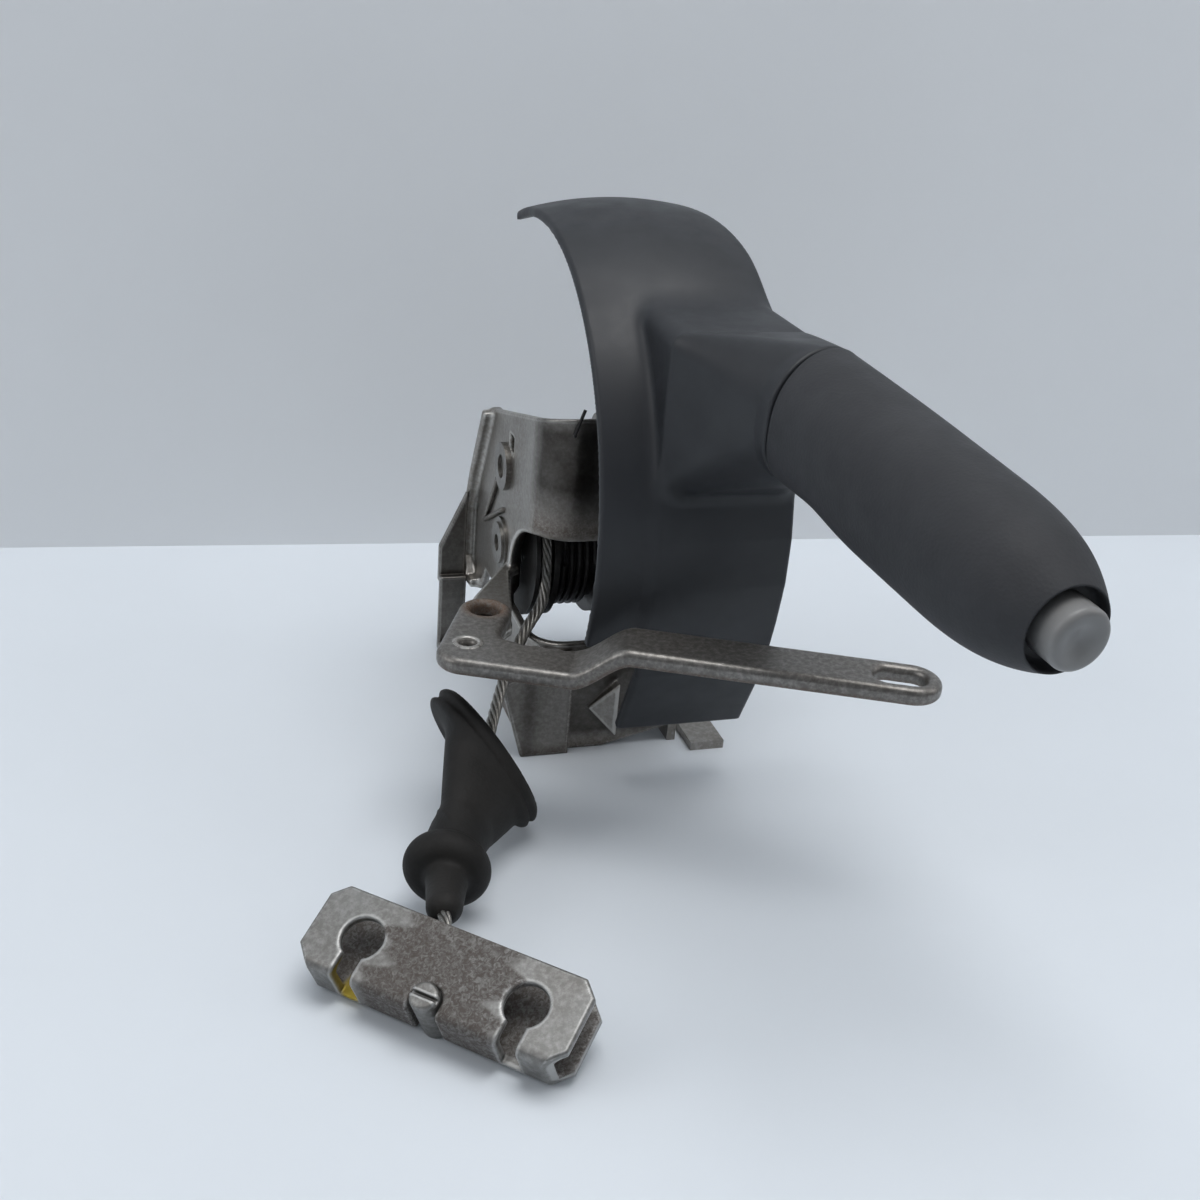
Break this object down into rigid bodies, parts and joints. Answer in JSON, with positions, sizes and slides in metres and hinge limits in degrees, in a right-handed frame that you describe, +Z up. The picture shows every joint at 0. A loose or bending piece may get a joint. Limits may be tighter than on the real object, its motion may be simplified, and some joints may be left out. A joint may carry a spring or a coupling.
{
  "type": "parking brake lever",
  "caption": "Hand brake lever with a covered arc, push-button grip, stamped base with cable drum, mounting strap, booted pull cable and equalizer.",
  "frame": {"origin": "middle of the strap's fixing hole, on the strap's top face", "axes": "+X along the lever's pivot axis to the grip's side, +Y to the rear, +Z up out of the fixing hole"},
  "size_m": [0.1826, 0.276, 0.1758],
  "materials": {
    "stamped_steel": "stained, satin",
    "strap_steel": "worn bright at the edges",
    "pin_steel": "satin",
    "spring_steel": "satin wire",
    "cable_steel": "galvanised strands",
    "equalizer_zinc": "zinc with rust bloom",
    "bush_brass": "satin",
    "boot_rubber": "matt, scuffed",
    "grip_rubber": "fine grain",
    "cover_plastic": "satin",
    "button_plastic": "satin silver grey",
    "drum_black": "dull black"
  },
  "bodies": {
    "base": {"base_bracket": "stamped_steel", "side_plate": "stamped_steel", "lower_panel": "stamped_steel", "rear_leg": "stamped_steel", "mounting_strap": "strap_steel", "pivot_pin": "pin_steel", "spring_rivet": "pin_steel", "drum_shaft": "pin_steel", "ratchet_sector": "pin_steel", "sector_rivets": "pin_steel", "hairpin_spring": "spring_steel", "drum_spring": "drum_black", "brake_cable": "cable_steel", "cable_wrap": "cable_steel", "cable_boot": "boot_rubber", "cable_nipple": "pin_steel"},
    "lever": {"lever_arm": "stamped_steel", "pivot_bush": "bush_brass", "link_pin": "pin_steel", "pawl_pin": "pin_steel", "lever_tube": "stamped_steel", "arc_cover": "cover_plastic", "cover_clip": "cover_plastic", "grip_sleeve": "grip_rubber", "button_guide": "cover_plastic", "spring_seat": "drum_black"},
    "button": {"push_button": "button_plastic", "release_rod": "pin_steel", "button_spring": "spring_steel"},
    "pawl": {"pawl": "pin_steel"},
    "drum": {"cable_drum": "drum_black", "crank_pin": "pin_steel"},
    "link": {"drive_link": "stamped_steel"},
    "equalizer": {"equalizer": "equalizer_zinc"}
  },
  "joints": [
    {"name": "lever_swing", "type": "hinge", "parent": "base", "child": "lever", "pos_m": [0.0614, 0.0544, 0.026], "axis": [-1, 0, 0], "range_deg": [0, 38]},
    {"name": "button_press", "type": "slide", "parent": "lever", "child": "button", "axis": [-0.0887, 0.9935, 0.071], "range_m": [0, 0.006], "stiffness_N_per_m": 600, "springref_m": -0.008, "deforming": ["button_spring"]},
    {"name": "pawl_turn", "type": "hinge", "parent": "lever", "child": "pawl", "pos_m": [0.0674, -0.0186, 0.042], "axis": [-1, 0, 0], "range_deg": [0, 27.6]},
    {"name": "drum_turn", "type": "hinge", "parent": "base", "child": "drum", "pos_m": [0.0374, 0.0544, -0.002], "axis": [-1, 0, 0], "range_deg": [0, 38]},
    {"name": "link_turn", "type": "hinge", "parent": "lever", "child": "link", "pos_m": [0.0564, 0.0704, 0.031], "axis": [-1, 0, 0], "range_deg": [-38, 0]},
    {"name": "equalizer_tilt", "type": "hinge", "parent": "base", "child": "equalizer", "pos_m": [-0.03898, -0.12068, -0.05193], "axis": [-0.3137, -0.3282, 0.891], "range_deg": [-8, 8]}
  ],
  "couplings": [
    {"joint": "pawl_turn", "follows": "button_press", "rad_per_m": 80},
    {"joint": "drum_turn", "follows": "lever_swing", "ratio": 1},
    {"joint": "link_turn", "follows": "lever_swing", "ratio": -1}
  ]
}
